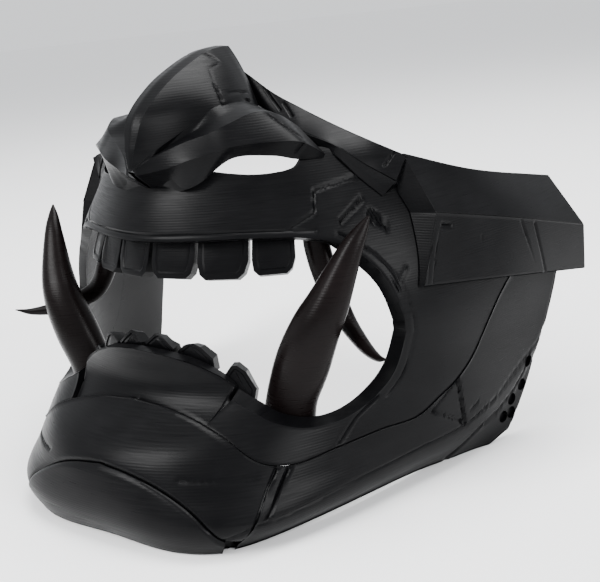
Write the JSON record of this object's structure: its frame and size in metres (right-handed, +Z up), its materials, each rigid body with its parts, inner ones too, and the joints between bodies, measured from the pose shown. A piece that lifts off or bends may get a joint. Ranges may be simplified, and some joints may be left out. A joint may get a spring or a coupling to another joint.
{
  "type": "oni mask",
  "caption": "Half-face demon mask of bevelled panels, with an open grinning mouth, rows of teeth, curved tusks, a hooked nose and ear plates.",
  "frame": {"origin": "on the floor the mask stands on, under the middle of its bounding box", "axes": "+X to the wearer's left, +Y from the face back towards the wearer, +Z up from the chin to the nose"},
  "size_m": [0.1852, 0.1405, 0.1307],
  "materials": {
    "printed_plastic": "satin",
    "tusk_plastic": "satin"
  },
  "bodies": {
    "root": {"face_shell": "printed_plastic", "lower_lip": "printed_plastic", "chin": "printed_plastic", "chin_plate": "printed_plastic", "nose": "printed_plastic", "jaw_left": "printed_plastic", "jaw_right": "printed_plastic", "ear_plate_left": "printed_plastic", "ear_plate_right": "printed_plastic", "brow_band_left": "printed_plastic", "brow_band_right": "printed_plastic", "lower_tusk_left": "tusk_plastic", "lower_tusk_right": "tusk_plastic", "upper_tusk_left": "tusk_plastic", "upper_tusk_right": "tusk_plastic", "upper_tooth_1": "printed_plastic", "upper_tooth_2": "printed_plastic", "upper_tooth_3": "printed_plastic", "upper_tooth_4": "printed_plastic", "upper_tooth_5": "printed_plastic", "upper_tooth_6": "printed_plastic", "lower_tooth_1": "printed_plastic", "lower_tooth_2": "printed_plastic", "lower_tooth_3": "printed_plastic", "lower_tooth_4": "printed_plastic", "lower_tooth_5": "printed_plastic", "lower_tooth_6": "printed_plastic"}
  },
  "joints": []
}
